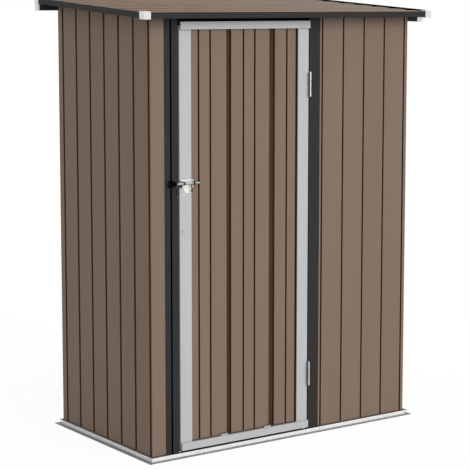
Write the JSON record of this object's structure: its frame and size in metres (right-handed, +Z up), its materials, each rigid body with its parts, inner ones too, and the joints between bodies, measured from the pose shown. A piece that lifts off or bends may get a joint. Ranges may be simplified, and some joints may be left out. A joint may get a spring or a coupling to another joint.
{
  "type": "metal tool shed",
  "caption": "Small ribbed sheet-metal garden shed with a single-slope roof, a hinged door with a slide bolt, and ground rails round its foot.",
  "frame": {"origin": "on the ground, at the middle of the shed's width and depth, under the middle of the roof", "axes": "+X to the right of someone facing the door, +Y from the door side to the rear, +Z up"},
  "size_m": [1.5004, 0.8674, 1.839],
  "materials": {
    "taupe_paint": "satin taupe paint on ribbed sheet",
    "white_paint": "satin pale grey-white paint",
    "black_paint": "satin black paint",
    "dark_trim_paint": "satin anthracite paint",
    "base_rail_paint": "zinc-coated, pale",
    "galvanised": "zinc-coated",
    "hinge_steel": "zinc-plated",
    "white_cap": "moulded white plastic",
    "latch_metal": "zinc-plated"
  },
  "bodies": {
    "shed": {"base_rail_front": "base_rail_paint", "base_rail_left": "base_rail_paint", "base_rail_rear": "base_rail_paint", "base_rail_right": "base_rail_paint", "corner_post_front_left": "galvanised", "corner_post_front_right": "galvanised", "corner_post_rear_left": "galvanised", "corner_post_rear_right": "galvanised", "door_post_left": "dark_trim_paint", "door_post_right": "dark_trim_paint", "door_threshold": "black_paint", "front_panel_left": "taupe_paint", "front_panel_right": "taupe_paint", "hinge_post_leaf_lower": "hinge_steel", "hinge_post_leaf_upper": "hinge_steel", "latch_keeper": "black_paint", "left_wall": "taupe_paint", "rafter_left": "galvanised", "rafter_right": "galvanised", "rail_cap_front": "white_cap", "rail_cap_rear": "white_cap", "rear_wall": "taupe_paint", "right_wall": "taupe_paint", "roof_cap_front_left": "white_cap", "roof_cap_front_right": "white_cap", "roof_cap_rear_left": "white_cap", "roof_cap_rear_right": "white_cap", "roof_sheet": "taupe_paint", "roof_trim_front": "dark_trim_paint", "roof_trim_left": "dark_trim_paint", "roof_trim_rear": "dark_trim_paint", "roof_trim_right": "dark_trim_paint", "top_rail_front": "black_paint", "top_rail_left": "black_paint", "top_rail_rear": "black_paint", "top_rail_right": "black_paint", "wall_brace_rear": "galvanised"},
    "door": {"door_brace": "galvanised", "door_panel": "taupe_paint", "door_rail_bottom": "white_paint", "door_rail_top": "white_paint", "door_stile_left": "white_paint", "door_stile_right": "white_paint", "hinge_door_leaf_lower": "hinge_steel", "hinge_door_leaf_upper": "hinge_steel", "latch_plate": "latch_metal"},
    "bolt": {"latch_bolt": "latch_metal"}
  },
  "joints": [
    {"name": "door_hinge", "type": "hinge", "parent": "shed", "child": "door", "pos_m": [0.11925, -0.37, 0.87], "axis": [0, 0, 1], "range_deg": [0, 110]},
    {"name": "latch_slide", "type": "slide", "parent": "door", "child": "bolt", "axis": [-1, 0, 0], "range_m": [0, 0.024]}
  ]
}
